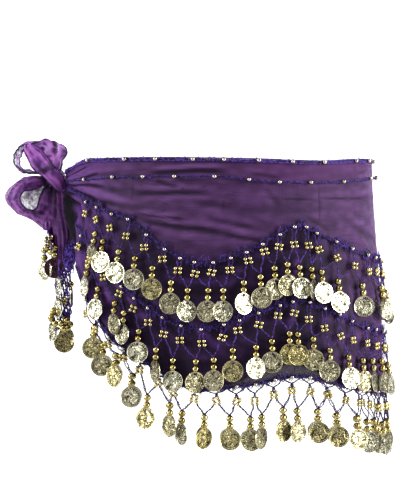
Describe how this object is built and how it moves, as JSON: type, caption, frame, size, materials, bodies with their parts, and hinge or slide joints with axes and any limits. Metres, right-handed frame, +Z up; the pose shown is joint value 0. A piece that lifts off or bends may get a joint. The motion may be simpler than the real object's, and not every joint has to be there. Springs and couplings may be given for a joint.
{
  "type": "belly dance hip scarf",
  "caption": "Chiffon hip scarf wound once round the hips and tied in a half bow at the side, with waved rows of crocheted net, beads and coins.",
  "frame": {"origin": "centre of the waist opening, at the height of the cloth's top edge", "axes": "+X to the wearer's left, away from the knot; -Y is the front; +Z up out of the waist opening"},
  "size_m": [0.4137, 0.2569, 0.3442],
  "materials": {
    "chiffon": "dark purple chiffon, two layers deep, fine plain weave with a soft sheen",
    "bow_chiffon": "purple chiffon, one sheer layer, with a rolled dark hem",
    "crochet_thread": "blue-violet twisted crochet thread",
    "beads": "smooth pale gold plated beads",
    "coins": "thin stamped brass coloured discs, lightly worn"
  },
  "bodies": {
    "root": {"cloth_front": "chiffon", "cloth_back": "chiffon", "knot_core": "bow_chiffon", "knot_band": "bow_chiffon", "bow_loop_upper": "bow_chiffon", "bow_loop_lower": "bow_chiffon", "hanging_end": "bow_chiffon", "top_edging_front": "crochet_thread", "top_edging_back": "crochet_thread", "waist_line_front": "crochet_thread", "waist_line_back": "crochet_thread", "heading_1_front": "crochet_thread", "heading_1_back": "crochet_thread", "heading_2_front": "crochet_thread", "heading_2_back": "crochet_thread", "heading_3_front": "crochet_thread", "heading_3_back": "crochet_thread", "net_1_front": "crochet_thread", "net_1_back": "crochet_thread", "net_2_front": "crochet_thread", "net_2_back": "crochet_thread", "net_3_front": "crochet_thread", "net_3_back": "crochet_thread", "hanging_net": "crochet_thread", "fringe_1_front": "coins", "fringe_1_back": "coins", "fringe_2_front": "coins", "fringe_2_back": "coins", "fringe_3_front": "coins", "fringe_3_back": "coins", "hanging_fringe": "coins", "hanging_side_fringe": "coins"}
  },
  "joints": []
}
